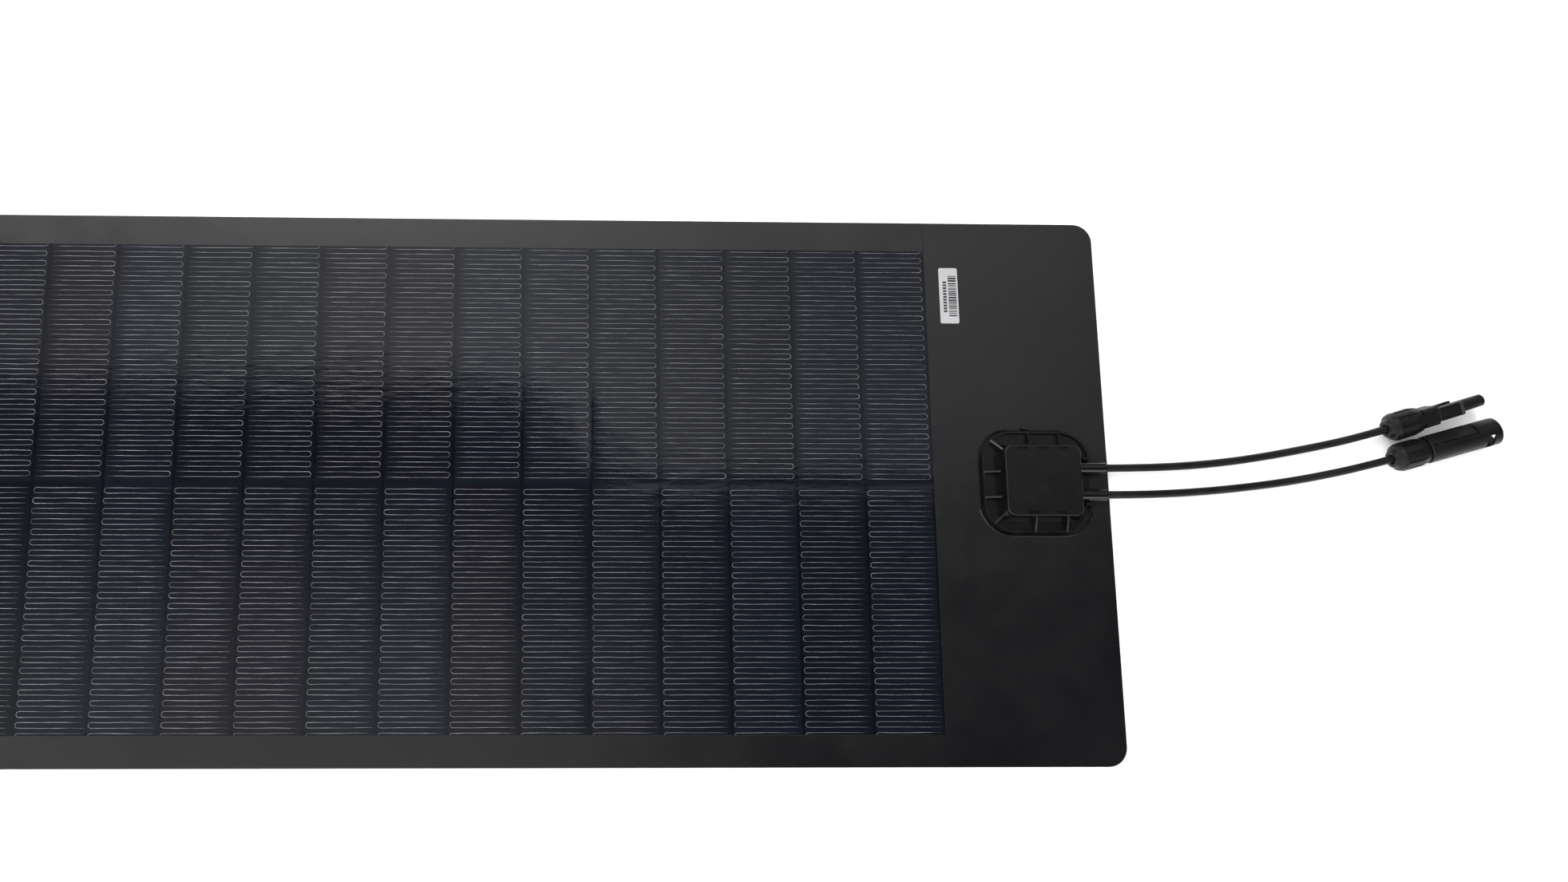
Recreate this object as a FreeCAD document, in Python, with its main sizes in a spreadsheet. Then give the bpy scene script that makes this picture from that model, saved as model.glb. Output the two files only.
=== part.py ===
"""Flexible thin-film solar sheet with a surface junction box and two leads.

Millimetres, +Z up. The origin is the middle of the laminate's underside. +X points from the tail
to the junction box, and the leads leave the box in that direction.
"""
import FreeCAD
import Part
import Sketcher
import math
import os
import re

COLUMNS = 18
FLUTES = 10
COLLET_SLITS = 6

DIMENSIONS = {
    # Laminate outline and layers, from the back upwards.
    "sheet_length": 940, "sheet_width": 348, "sheet_corner": 12,
    "backsheet": 0.5, "rear_resin": 0.4, "cell_thick": 0.2, "decal_thick": 0.2,
    "front_resin": 0.2, "film": 0.2, "mask": 0.3,
    # Two rows of half cells, and the metal that joins them.
    "cell_pitch": 43.75, "cell_span": 156, "cell_gap": 0.6, "row_gap": 4, "cells_end": 357.5,
    "decal_inset": 1.5, "strip_width": 19.4, "bus_width": 4.8, "bus_reach": 150,
    "ribbon_width": 5, "ribbon_thick": 0.2, "riser_x": 407,
    "label_length": 37.9, "label_width": 13.2, "label_thick": 0.1, "label_x": 373.3,
    "label_y": 124.7, "label_corner": 1.2,
    # Junction box, centred on box_x, box_y and bonded to the face of the sheet.
    "box_x": 422.75, "box_y": 1.9, "box_length": 69.5, "box_width": 65, "box_corner": 19,
    "flange": 1.6, "rim_rise": 4, "rim_wall": 1.4, "bead_width": 2.5, "bead_rise": 1.2,
    "block_shift": 1.15, "block_rise": 9.3, "block_length": 47.8, "block_width": 44.4,
    "block_foot": 5.4, "block_corner": 5, "gusset_rise": 8.2, "gusset_thick": 1.2,
    "lip_length": 45, "lip_width": 41.6, "lip_rise": 10.9, "lip_corner": 3.5,
    "cavity_length": 42, "cavity_width": 38.6, "cavity_floor": 1.6, "cavity_corner": 2.5,
    "lug_length": 5.2, "lug_width": 0.75, "lug_rise": 13,
    "gasket_wall": 0.6, "gasket_thick": 0.8,
    "lid_length": 48.2, "lid_width": 44.8, "lid_foot": 9.7, "lid_rise": 13.6, "lid_top": 1.7,
    "lid_wall": 1.3, "lid_corner": 5, "lid_edge": 0.7, "slot_length": 6, "slot_width": 1.3,
    "outlet_rise": 5.4, "outlet_spread": 17.1, "outlet_radius": 4, "outlet_end": 465.6,
    "outlet_bore": 2.7, "bush_radius": 3.7, "bush_length": 4.4,
    "terminal_length": 22, "terminal_width": 8, "terminal_thick": 0.8, "terminal_rise": 4.2,
    "diode_radius": 2.1, "diode_length": 6, "diode_lead": 0.4, "diode_span": 14,
    "crimp_radius": 1.8, "crimp_length": 6.5, "crimp_tab": 9, "crimp_width": 4,
    # Leads and their connectors. Lengths along a connector start at the back of its cap nut.
    "lead_radius": 2.5, "lead_start": 438, "lead_engaged": 25,
    "nut_length": 23, "nut_radius": 9, "nut_mouth": 3.3, "nut_widest": 17.5, "thread_bore": 6.6,
    "collet_start": 4.6, "collet_end": 10, "seal_start": 11.2,
    "spigot_start": 10.6, "spigot_end": 23.4, "spigot_radius": 6.3,
    "seal_chamber": 5.2, "chamber_end": 20, "contact_chamber": 2.7, "core_radius": 2.2,
    "core_end": 34, "contact_radius": 2.6, "socket_start": 46, "pin_radius": 2, "pin_tip": 64.5,
    "probe_radius": 3.9, "probe_end": 68.5,
    "collar_end": 33, "collar_width": 12.4, "collar_height": 14.4, "collar_corner": 3,
    "arm_root": 34.1, "arm_end": 51.2, "arm_inner": 5.3, "arm_outer": 6.9, "arm_width": 8.6,
    "arm_hook": 1, "ring_place": 38, "ring_radius": 0.7,
    "shell_radius": 8.8, "shell_end": 72.4, "shell_flat": 7.6, "flat_start": 27.9,
    "flat_length": 29, "grip_offset": 4.1, "grip_width": 0.9, "grip_depth": 0.8,
    "recess_start": 24.2, "recess_end": 52, "recess_floor": 5.2, "mouth_radius": 4.3,
    "mouth_depth": 31, "channel_width": 14.4, "channel_height": 9.4, "channel_depth": 14,
    "window_start": 60.8, "window_length": 5.3, "window_height": 10.4,
}

# Where each connector lies: back of the cap nut, heading in the floor plane, roll about its axis.
AXIS_HEIGHT = 9.1
PROBE_PLACE = (649.9, 36.2, 17.0, -10)
SHELL_PLACE = (651.5, 16.7, 15.3, 40)

# Free points of the two leads, between the box and the straight run into each connector.
POSITIVE_ROUTE = [(478, 10.6, 7.4), (518, 12.4, 5.0), (555, 16.4, 2.3), (592, 22.6, 4.2)]
NEGATIVE_ROUTE = [(478, -6.5, 7.4), (517, -4.8, 4.9), (555, -1.2, 2.25), (593, 3.8, 4.2)]
NUT_CLEARANCE_RUN = 15

doc = FreeCAD.newDocument("FlexibleSolarSheet")
sheet = doc.addObject("Spreadsheet::Sheet", "Dims")
nodes = []


def fill_sheet():
    """Write every driving dimension as a plain number with its own alias."""
    for row, (alias, number) in enumerate(DIMENSIONS.items(), start=1):
        sheet.set(f"A{row}", alias)
        sheet.set(f"B{row}", str(number))
        sheet.setAlias(f"B{row}", alias)
    doc.recompute()


def formula(text):
    """Turn alias words into references to the sheet."""
    def refer(match):
        word = match.group(0)
        return "Dims." + word if word in DIMENSIONS else word
    return re.sub(r"[a-z_]+", refer, str(text))


def bind(item, **formulas):
    """Bind properties, whose dots are written as double underscores, to formulas."""
    for path, text in formulas.items():
        item.setExpression(path.replace("__", "."), formula(text))


def locate(item, x, y, z):
    bind(item, Placement__Base__x=x, Placement__Base__y=y, Placement__Base__z=z)


def keep(item, label):
    """Name an item as a finished sub-part."""
    item.Label = label
    nodes.append(item)
    return item


# ---------------------------------------------------------------- primitives and booleans

def block(name, size, centre, bottom):
    """A box from its size, the middle of its footprint and its lowest height."""
    item = doc.addObject("Part::Box", name)
    bind(item, Length=size[0], Width=size[1], Height=size[2])
    locate(item, f"({centre[0]}) - ({size[0]}) / 2", f"({centre[1]}) - ({size[1]}) / 2", bottom)
    return item


def rod(name, radius, length, start, axis):
    """A cylinder that starts at a point and runs along an axis."""
    item = doc.addObject("Part::Cylinder", name)
    item.Placement.Rotation = FreeCAD.Rotation(FreeCAD.Vector(0, 0, 1), FreeCAD.Vector(*axis))
    bind(item, Radius=radius, Height=length)
    locate(item, *start)
    return item


def fuse(name, parts):
    item = doc.addObject("Part::MultiFuse", name)
    item.Shapes = parts
    return item


def group(name, parts):
    item = doc.addObject("Part::Compound", name)
    item.Links = parts
    return item


def cut(name, base, tools):
    item = doc.addObject("Part::Cut", name)
    item.Base = base
    item.Tool = tools[0] if len(tools) == 1 else fuse(name + "Tools", tools)
    return item


def common(name, base, tool):
    item = doc.addObject("Part::Common", name)
    item.Base = base
    item.Tool = tool
    return item


# ---------------------------------------------------------------- bodies with sketches

def new_sketch(body, name, role):
    """An empty sketch on one of the body's own origin planes."""
    plane = next(part for part in body.Origin.OriginFeatures if part.Role == role)
    sketch = body.newObject("Sketcher::SketchObject", name)
    sketch.AttachmentSupport = (plane, [""])
    sketch.MapMode = "FlatFace"
    return sketch


def outline(body, name, role, corners):
    """A closed outline through corners, each a pair of formulas from the origin."""
    sketch = new_sketch(body, name, role)
    count = len(corners)
    turn = 2 * math.pi / count
    ring = [FreeCAD.Vector(50 + math.cos(turn * i), 50 + math.sin(turn * i), 0) for i in range(count)]
    for i in range(count):
        sketch.addGeometry(Part.LineSegment(ring[i], ring[(i + 1) % count]), False)
    for i, (across, up) in enumerate(corners):
        sketch.addConstraint(Sketcher.Constraint("Coincident", i, 2, (i + 1) % count, 1))
        for kind, text in (("DistanceX", across), ("DistanceY", up)):
            index = sketch.addConstraint(Sketcher.Constraint(kind, -1, 1, i, 1, 50.0))
            sketch.setExpression(f"Constraints[{index}]", formula(text))
    return sketch


def rectangle(body, name, role, length, width):
    """A rectangle centred on the sketch's origin."""
    half_length, half_width = f"({length}) / 2", f"({width}) / 2"
    return outline(body, name, role, [
        (f"-{half_length}", f"-{half_width}"), (half_length, f"-{half_width}"),
        (half_length, half_width), (f"-{half_length}", half_width)])


def edges_where(shape, test):
    return [f"Edge{i}" for i, edge in enumerate(shape.Edges, start=1) if test(edge)]


def is_upright(edge):
    return abs(edge.tangentAt(edge.FirstParameter).z) > 0.99


def round_edges(body, feature, name, test, radius):
    """Fillet the edges of the last feature that pass a test."""
    doc.recompute()
    item = body.newObject("PartDesign::Fillet", name)
    item.Base = (feature, edges_where(feature.Shape, test))
    bind(item, Radius=radius)
    return item


def plate(name, size, centre, bottom, corner):
    """A flat body with rounded corners."""
    body = doc.addObject("PartDesign::Body", name)
    sketch = rectangle(body, name + "Outline", "XY_Plane", size[0], size[1])
    pad = body.newObject("PartDesign::Pad", name + "Pad")
    pad.Profile = sketch
    bind(pad, Length=size[2])
    body.Tip = round_edges(body, pad, name + "Corners", is_upright, corner)
    locate(body, centre[0], centre[1], bottom)
    return body


def turned(name, corners):
    """A body turned about its own X axis from a half outline of (along, radius) pairs."""
    body = doc.addObject("PartDesign::Body", name)
    sketch = outline(body, name + "Profile", "XY_Plane", corners)
    revolution = body.newObject("PartDesign::Revolution", name + "Turned")
    revolution.Profile = sketch
    revolution.ReferenceAxis = (sketch, ["H_Axis"])
    revolution.Angle = 360
    body.Tip = revolution
    return body


def bore_out(body, name, corners):
    """Remove a turned shape from a body."""
    sketch = outline(body, name + "Profile", "XY_Plane", corners)
    groove = body.newObject("PartDesign::Groove", name)
    groove.Profile = sketch
    groove.ReferenceAxis = (sketch, ["H_Axis"])
    groove.Angle = 360
    body.Tip = groove
    return groove


def extrude_sketch(body, kind, name, sketch, start, length, reverse=False, both_ways=False):
    """Pad or pocket a sketch, moved along its normal to start."""
    bind(sketch, AttachmentOffset__Base__z=start)
    item = body.newObject("PartDesign::" + kind, name)
    item.Profile = sketch
    item.Reversed = reverse
    item.Midplane = both_ways
    bind(item, Length=length)
    body.Tip = item
    return item


def slit_all_round(body, name, first_pocket, count):
    """Repeat a pocket round the body's X axis."""
    pattern = body.newObject("PartDesign::PolarPattern", name)
    pattern.Originals = [first_pocket]
    pattern.Axis = (next(a for a in body.Origin.OriginFeatures if a.Role == "X_Axis"), [""])
    pattern.Angle = 360
    pattern.Occurrences = count
    body.Tip = pattern
    return pattern


# ---------------------------------------------------------------- laminate

REAR_LEVEL = "backsheet"
CELL_LEVEL = "backsheet + rear_resin"
DECAL_LEVEL = CELL_LEVEL + " + cell_thick"
FRONT_LEVEL = DECAL_LEVEL + " + decal_thick"
FILM_LEVEL = FRONT_LEVEL + " + front_resin"
MASK_LEVEL = FILM_LEVEL + " + film"
FACE_LEVEL = MASK_LEVEL + " + mask"
CELLS_START = f"cells_end - {COLUMNS} * cell_pitch"
TAIL_LENGTH = f"(sheet_length / 2 + {CELLS_START})"
HEAD_LENGTH = "(sheet_length / 2 - cells_end)"
POSITIVE_Y = "box_y + outlet_spread / 2"
NEGATIVE_Y = "box_y - outlet_spread / 2"


def full_layer(name, thickness, bottom):
    return plate(name, ("sheet_length", "sheet_width", thickness), ("0", "0"), bottom, "sheet_corner")


def ribbon_slot(name, bottom, height):
    """The slit under the box that both ribbons come up through."""
    return block(name, ("4.4", "outlet_spread + ribbon_width + 2.9", height), ("riser_x", "box_y"), bottom)


def laminate_layers():
    keep(full_layer("Backsheet", "backsheet", "0"), "backsheet")
    keep(full_layer("RearResin", "rear_resin", REAR_LEVEL), "rear_encapsulant")
    for name, thick, level, label in (
            ("FrontResin", "front_resin", FRONT_LEVEL, "front_encapsulant"),
            ("Film", "film", FILM_LEVEL, "front_film")):
        slot = ribbon_slot(name + "Slot", f"{level} - 0.1", f"{thick} + 0.2")
        keep(cut(name + "Slotted", full_layer(name, thick, level), [slot]), label)


def edge_seal():
    """The sealing frame round the cells, with two channels for the ribbons."""
    depth = "cell_thick + decal_thick"
    low = f"{CELL_LEVEL} - 0.1"
    high = f"{depth} + 0.2"
    opening = block("SealOpening", (f"{COLUMNS} * cell_pitch + 14", "2 * cell_span + row_gap + 2", high),
                    (f"cells_end - {COLUMNS} * cell_pitch / 2", "0"), low)
    channels = [block(name, ("riser_x + 3 - cells_end", "ribbon_width + 1.5", high),
                      ("(riser_x + 3 + cells_end) / 2", y), low)
                for name, y in (("PositiveChannel", POSITIVE_Y), ("NegativeChannel", NEGATIVE_Y))]
    keep(cut("EdgeSeal", full_layer("SealPlate", depth, CELL_LEVEL), [opening] + channels), "edge_seal")


def cell_row(name, side, label, length, span, level, thickness):
    """One row of identical flat pieces, side by side along X."""
    pieces = []
    for column in range(COLUMNS):
        x = f"cells_end - ({COLUMNS} - {column} - 0.5) * cell_pitch"
        y = f"{side} * (row_gap + cell_span) / 2"
        pieces.append(block(f"{name}{column + 1}", (length, span, thickness), (x, y), level))
    keep(group(name, pieces), label)


def cells_and_wire_decals():
    for side, where in ((1, "far"), (-1, "near")):
        cell_row(f"Cells{where.title()}", side, f"cells_{where}_row",
                 "cell_pitch - cell_gap", "cell_span", CELL_LEVEL, "cell_thick")
        cell_row(f"Decals{where.title()}", side, f"wire_decals_{where}_row",
                 "cell_pitch - cell_gap - 1", "cell_span - 2 * decal_inset", DECAL_LEVEL, "decal_thick")


def string_metalwork():
    """The crossover at the tail, and each string's bus with its ribbon up into the box."""
    first_cell = f"{CELLS_START} + cell_gap / 2"
    strip = block("TailBusStrip", ("bus_width", "2 * bus_reach", "ribbon_thick"),
                  (f"{first_cell} - bus_width / 2", "0"), CELL_LEVEL)
    keep(group("TailBus", [strip]), "tail_crossover_bus")
    last_cell = "cells_end - cell_gap / 2"
    landing = f"{FACE_LEVEL} + terminal_rise + terminal_thick"
    for name, side, y in (("Positive", 1, POSITIVE_Y), ("Negative", -1, NEGATIVE_Y)):
        bus = block(name + "Bus", ("bus_width", "bus_reach - 6", "ribbon_thick"),
                    (f"{last_cell} + bus_width / 2", f"{side} * (bus_reach + 6) / 2"), CELL_LEVEL)
        flat = block(name + "Flat", (f"riser_x - ({last_cell})", "ribbon_width", "ribbon_thick"),
                     (f"(riser_x + {last_cell}) / 2", y), CELL_LEVEL)
        riser_size = ("ribbon_thick", "ribbon_width", f"{landing} + ribbon_thick - ({CELL_LEVEL})")
        riser = block(name + "Riser", riser_size, ("riser_x - ribbon_thick / 2", y), CELL_LEVEL)
        top = block(name + "Top", ("6", "ribbon_width", "ribbon_thick"),
                    ("riser_x + 3 - ribbon_thick", y), landing)
        keep(fuse(name + "Ribbon", [bus, flat, riser, top]), f"{name.lower()}_bus_ribbon")


def masks():
    """Black strips along the long edges and black panels over both ends."""
    cells_middle = f"cells_end - {COLUMNS} * cell_pitch / 2"
    for name, side, label in (("FarStrip", 1, "edge_mask_far"), ("NearStrip", -1, "edge_mask_near")):
        strip = block(name, (f"{COLUMNS} * cell_pitch", "strip_width", "mask"),
                      (cells_middle, f"{side} * (sheet_width - strip_width) / 2"), MASK_LEVEL)
        keep(group(name + "Piece", [strip]), label)
    tail = block("TailArea", (TAIL_LENGTH, "sheet_width", "mask"),
                 (f"-sheet_length / 2 + {TAIL_LENGTH} / 2", "0"), MASK_LEVEL)
    keep(common("TailMask", full_layer("TailMaskPlate", "mask", MASK_LEVEL), tail), "end_mask_tail")
    head = block("HeadArea", (HEAD_LENGTH, "sheet_width", "mask"),
                 (f"sheet_length / 2 - {HEAD_LENGTH} / 2", "0"), MASK_LEVEL)
    head_mask = common("HeadMask", full_layer("HeadMaskPlate", "mask", MASK_LEVEL), head)
    slot = ribbon_slot("HeadMaskSlot", f"{MASK_LEVEL} - 0.1", "mask + 0.2")
    keep(cut("HeadMaskSlotted", head_mask, [slot]), "end_mask_box")


def data_label():
    keep(plate("Label", ("label_width", "label_length", "label_thick"), ("label_x", "label_y"),
               FACE_LEVEL, "label_corner"), "serial_label")


# ---------------------------------------------------------------- junction box

BLOCK_X = "box_x + block_shift"
FAR_SLOTS = (-13, 0.3, 13.2)
NEAR_SLOTS = (-8, 10.1)


def above_face(height):
    return f"{FACE_LEVEL} + {height}"


def sloping_web(name, thickness, low, high, run, start, heading):
    """An upright web along a heading, whose top climbs from low to high over its run."""
    item = doc.addObject("Part::Wedge", name)
    bind(item, Xmin=f"-{thickness} / 2", Xmax=f"{thickness} / 2", X2min=f"-{thickness} / 2",
         X2max=f"{thickness} / 2", Ymin="0", Ymax=run, Zmin="0", Z2min="0", Zmax=low, Z2max=high)
    item.Placement.Rotation = FreeCAD.Rotation(FreeCAD.Vector(0, 0, 1), heading)
    locate(item, *start)
    return item


def raised_block():
    """The middle of the base, whose four walls lean in as they rise."""
    item = doc.addObject("Part::Wedge", "BaseBlock")
    foot_x, foot_y = "(block_length + block_foot) / 2", "(block_width + block_foot) / 2"
    bind(item, Xmin=f"-{foot_x}", Xmax=foot_x, Zmin=f"-{foot_y}", Zmax=foot_y,
         X2min="-block_length / 2", X2max="block_length / 2",
         Z2min="-block_width / 2", Z2max="block_width / 2", Ymin="0", Ymax="block_rise - flange")
    item.Placement.Rotation = FreeCAD.Rotation(FreeCAD.Vector(1, 0, 0), 90)
    locate(item, BLOCK_X, "box_y", above_face("flange"))
    doc.recompute()
    rounded = doc.addObject("Part::Fillet", "BaseBlockRounded")
    rounded.Base = item
    radius = DIMENSIONS["block_corner"]
    rounded.Edges = [(i, radius, radius) for i, edge in enumerate(item.Shape.Edges, start=1)
                     if abs(edge.tangentAt(edge.FirstParameter).z) > 0.5]
    return rounded


def base_webs():
    """Stiffening webs that run from the rim up to the block, two on each free side."""
    rise = "rim_rise - flange"
    high = "gusset_rise - flange"
    level = above_face("flange")
    webs = []
    for i, offset in enumerate((6.2, -10)):
        webs.append((f"LeftWeb{i}", "9.5", ("box_x - box_length / 2 + 0.7", f"box_y + {offset}"), -90))
    for i, offset in enumerate((-4.4, 15.4)):
        webs.append((f"FarWeb{i}", "9.8", (f"box_x + {offset}", "box_y + box_width / 2 - 0.7"), 180))
    for i, offset in enumerate((-3, 17.2)):
        webs.append((f"NearWeb{i}", "9.8", (f"box_x + {offset}", "box_y - box_width / 2 + 0.7"), 0))
    for i, (side, heading) in enumerate(((1, -135), (-1, -45))):
        start = ("box_x - box_length / 2 + 6", f"box_y + {side} * (box_width / 2 - 6)")
        webs.append((f"CornerWeb{i}", "9", start, heading))
    return [sloping_web(name, "gusset_thick", rise, high, run, (*start, level), heading)
            for name, run, start, heading in webs]


def latch_places():
    """Where each latch sits, as offsets from the middle of the block, with its side."""
    return [(x, 1) for x in FAR_SLOTS] + [(x, -1) for x in NEAR_SLOTS]


def box_rim():
    """The low wall round the flange, open between the two sleeves."""
    level = above_face("flange")
    outer = plate("RimOuter", ("box_length", "box_width", "rim_rise - flange"),
                  ("box_x", "box_y"), level, "box_corner")
    inner = plate("RimInner", ("box_length - 2 * rim_wall", "box_width - 2 * rim_wall", "rim_rise"),
                  ("box_x", "box_y"), level, "box_corner - rim_wall")
    gap = block("RimGap", ("6", "outlet_spread - 2 * outlet_radius", "rim_rise"),
                ("box_x + box_length / 2", "box_y"), level)
    return cut("BaseRim", outer, [inner, gap])


def latch_lugs():
    return [block(f"LatchLug{i}", ("lug_length", "lug_width", "lug_rise - lip_rise + 0.5"),
                  (f"{BLOCK_X} + {x}", f"box_y + {side} * (lip_width - lug_width) / 2"),
                  above_face("lip_rise - 0.5"))
            for i, (x, side) in enumerate(latch_places())]


def sleeve(name, side, y):
    """The tube one lead leaves through, with its web and lug, and the bore through it."""
    level = above_face("flange")
    start = f"{BLOCK_X} + cavity_length / 2 + 0.5"
    axis = (y, above_face("outlet_rise"))
    tube = rod(name + "Sleeve", "outlet_radius", f"outlet_end - ({start})", (start, *axis), (1, 0, 0))
    web_length = "outlet_end - 5 - box_x - block_length / 2"
    web = block(name + "SleeveWeb", (web_length, "3.2", "outlet_rise"),
                ("(outlet_end - 5 + box_x + block_length / 2) / 2", y), level)
    lug = block(name + "SleeveLug", ("3.2", "1.6", "6.4"),
                ("box_x + 30.4", f"{y} + {side} * (outlet_radius + 1.9)"), level)
    bore = rod(name + "Bore", "outlet_bore", "40", (f"{BLOCK_X} + 10", *axis), (1, 0, 0))
    return [tube, web, lug], bore


def terminal_posts():
    """Two posts under each terminal plate."""
    return [block(f"{name}Post{i}", ("5", "6", "terminal_rise - cavity_floor"),
                  (f"{BLOCK_X} + {x}", y), above_face("cavity_floor"))
            for name, y in (("Positive", POSITIVE_Y), ("Negative", NEGATIVE_Y))
            for i, x in enumerate((-11, 0))]


def box_base():
    flange = plate("BaseFlange", ("box_length", "box_width", "flange"), ("box_x", "box_y"),
                   FACE_LEVEL, "box_corner")
    lip = plate("BaseLip", ("lip_length", "lip_width", "lip_rise - block_rise + 1"),
                (BLOCK_X, "box_y"), above_face("block_rise - 1"), "lip_corner")
    solids = [flange, box_rim(), raised_block(), lip] + latch_lugs() + base_webs()
    openings = [plate("BaseCavity", ("cavity_length", "cavity_width", "20"), (BLOCK_X, "box_y"),
                      above_face("cavity_floor"), "cavity_corner"),
                ribbon_slot("BaseSlot", f"{FACE_LEVEL} - 1", "cavity_floor + 2")]
    for name, side, y in (("Positive", 1, POSITIVE_Y), ("Negative", -1, NEGATIVE_Y)):
        tube, bore = sleeve(name, side, y)
        solids += tube
        openings.append(bore)
    shell = cut("BaseHollowed", fuse("BaseSolids", solids), openings)
    keep(fuse("BoxBase", [shell] + terminal_posts()), "box_base")


def box_lid():
    body = plate("Lid", ("lid_length", "lid_width", "lid_rise - lid_foot"), (BLOCK_X, "box_y"),
                 above_face("lid_foot"), "lid_corner")
    top_height = DIMENSIONS["lid_rise"] - DIMENSIONS["lid_foot"]
    body.Tip = round_edges(body, body.Tip, "LidTopEdge",
                           lambda edge: abs(edge.BoundBox.ZMin - top_height) < 1e-3, "lid_edge")
    inside = rectangle(body, "LidInside", "XY_Plane", "lid_length - 2 * lid_wall",
                       "lid_width - 2 * lid_wall")
    extrude_sketch(body, "Pocket", "LidHollow", inside, "0", "lid_rise - lid_foot - lid_top",
                   reverse=True)
    slots = [block(f"LidSlot{i}", ("slot_length", "slot_width", "8"),
                   (f"{BLOCK_X} + {x}", f"box_y + {side} * (lip_width - lug_width) / 2"),
                   above_face("lid_rise - lid_top - 2"))
             for i, (x, side) in enumerate(latch_places())]
    keep(cut("BoxLid", body, slots), "box_lid")


def box_seals():
    outer_size = ("cavity_length + 2 * gasket_wall", "cavity_width + 2 * gasket_wall", "gasket_thick")
    outer = plate("GasketOuter", outer_size, (BLOCK_X, "box_y"), above_face("lip_rise"),
                  "cavity_corner + gasket_wall")
    inner = plate("GasketInner", ("cavity_length", "cavity_width", "gasket_thick + 2"),
                  (BLOCK_X, "box_y"), above_face("lip_rise - 1"), "cavity_corner")
    keep(cut("Gasket", outer, [inner]), "lid_gasket")
    bead = plate("BeadOuter", ("box_length + 2 * bead_width", "box_width + 2 * bead_width", "bead_rise"),
                 ("box_x", "box_y"), FACE_LEVEL, "box_corner + bead_width")
    bead.Tip = round_edges(bead, bead.Tip, "BeadTopEdge",
                           lambda edge: abs(edge.BoundBox.ZMin - DIMENSIONS["bead_rise"]) < 1e-3, "0.7")
    hole = plate("BeadInner", ("box_length", "box_width", "bead_rise + 2"),
                 ("box_x", "box_y"), f"{FACE_LEVEL} - 1", "box_corner")
    keep(cut("Bead", bead, [hole]), "box_adhesive_bead")


def core_crimp(name, y, tab_level):
    """The barrel pressed onto a lead's core, and its tab on the terminal plate."""
    barrel = rod(name + "Barrel", "crimp_radius", "crimp_length",
                 ("lead_start - crimp_length", y, above_face("outlet_rise")), (1, 0, 0))
    tab = block(name + "Tab", ("crimp_tab + 1", "crimp_width", "terminal_thick"),
                ("lead_start - crimp_length - (crimp_tab - 1) / 2", y), tab_level)
    return fuse(name + "Crimp", [barrel, tab])


def cable_bush(name, y):
    """The rubber ring between a lead and the wall of the box."""
    axis = (y, above_face("outlet_rise"))
    start = f"{BLOCK_X} + cavity_length / 2 - bush_length"
    ring = rod(name + "Ring", "bush_radius", "bush_length", (start, *axis), (1, 0, 0))
    hole = rod(name + "RingHole", "lead_radius + 0.02", "bush_length + 2",
               (f"{start} - 1", *axis), (1, 0, 0))
    return cut(name + "Bush", ring, [hole])


def bypass_diode(level):
    """A diode lying across both terminal plates."""
    body = rod("DiodeBody", "diode_radius", "diode_length",
               ("riser_x + 10", "box_y - diode_length / 2", level), (0, 1, 0))
    wire = rod("DiodeLead", "diode_lead", "diode_span",
               ("riser_x + 10", "box_y - diode_span / 2", level), (0, 1, 0))
    return fuse("Diode", [body, wire])


def box_terminals():
    """Per lead: the plate its ribbon is soldered to, the crimp on its core and its rubber bush."""
    on_plate = above_face("terminal_rise + terminal_thick")
    for name, y in (("Positive", POSITIVE_Y), ("Negative", NEGATIVE_Y)):
        label = name.lower()
        terminal = block(name + "Terminal", ("terminal_length", "terminal_width", "terminal_thick"),
                         ("riser_x + 2 + terminal_length / 2", y), above_face("terminal_rise"))
        keep(group(name + "TerminalPiece", [terminal]), label + "_terminal")
        keep(core_crimp(name, y, on_plate), label + "_core_crimp")
        keep(cable_bush(name, y), label + "_cable_bush")
    keep(bypass_diode(f"{on_plate} + diode_lead"), "bypass_diode")


# ---------------------------------------------------------------- connectors

def connector_frame(place):
    x, y, heading, roll = place
    turn = FreeCAD.Rotation(FreeCAD.Vector(0, 0, 1), heading)
    spin = FreeCAD.Rotation(FreeCAD.Vector(1, 0, 0), -roll)
    return FreeCAD.Placement(FreeCAD.Vector(x, y, AXIS_HEIGHT), turn.multiply(spin))


def cap_nut(name):
    """The fluted cap that clamps the lead: a stepped back, a full middle and a tapered front."""
    body = turned(name, [
        ("0", "nut_mouth"), ("0", "nut_radius - 3.8"), ("2.4", "nut_radius - 2.6"),
        ("3.2", "nut_radius - 0.9"), ("5.4", "nut_radius"), ("nut_widest", "nut_radius"),
        ("nut_length - 0.8", "nut_radius - 1"), ("nut_length", "nut_radius - 1.4"),
        ("nut_length", "thread_bore"), ("8.5", "thread_bore"), ("2.5", "nut_mouth")])
    flute = outline(body, name + "FluteOutline", "YZ_Plane", [
        ("-1.1", "nut_radius + 1"), ("-0.7", "nut_radius - 0.7"),
        ("0.7", "nut_radius - 0.7"), ("1.1", "nut_radius + 1")])
    pocket = extrude_sketch(body, "Pocket", name + "Flute", flute, "6.2", "nut_length - 9",
                            reverse=True)
    slit_all_round(body, name + "Flutes", pocket, FLUTES)
    return body


def clamp_collet(name):
    """The split ring that the cap nut squeezes onto the lead."""
    inner = "lead_radius + 0.4"
    body = turned(name, [
        ("collet_start", inner), ("collet_start", "4"), ("collet_end - 2", "5.9"),
        ("collet_end", "5.9"), ("collet_end", inner)])
    slit = outline(body, name + "SlitOutline", "YZ_Plane", [
        ("-0.4", "lead_radius"), ("0.4", "lead_radius"), ("0.4", "7"), ("-0.4", "7")])
    pocket = extrude_sketch(body, "Pocket", name + "Slit", slit, "collet_start - 0.6", "4.6",
                            reverse=True)
    slit_all_round(body, name + "Slits", pocket, COLLET_SLITS)
    return body


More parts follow.
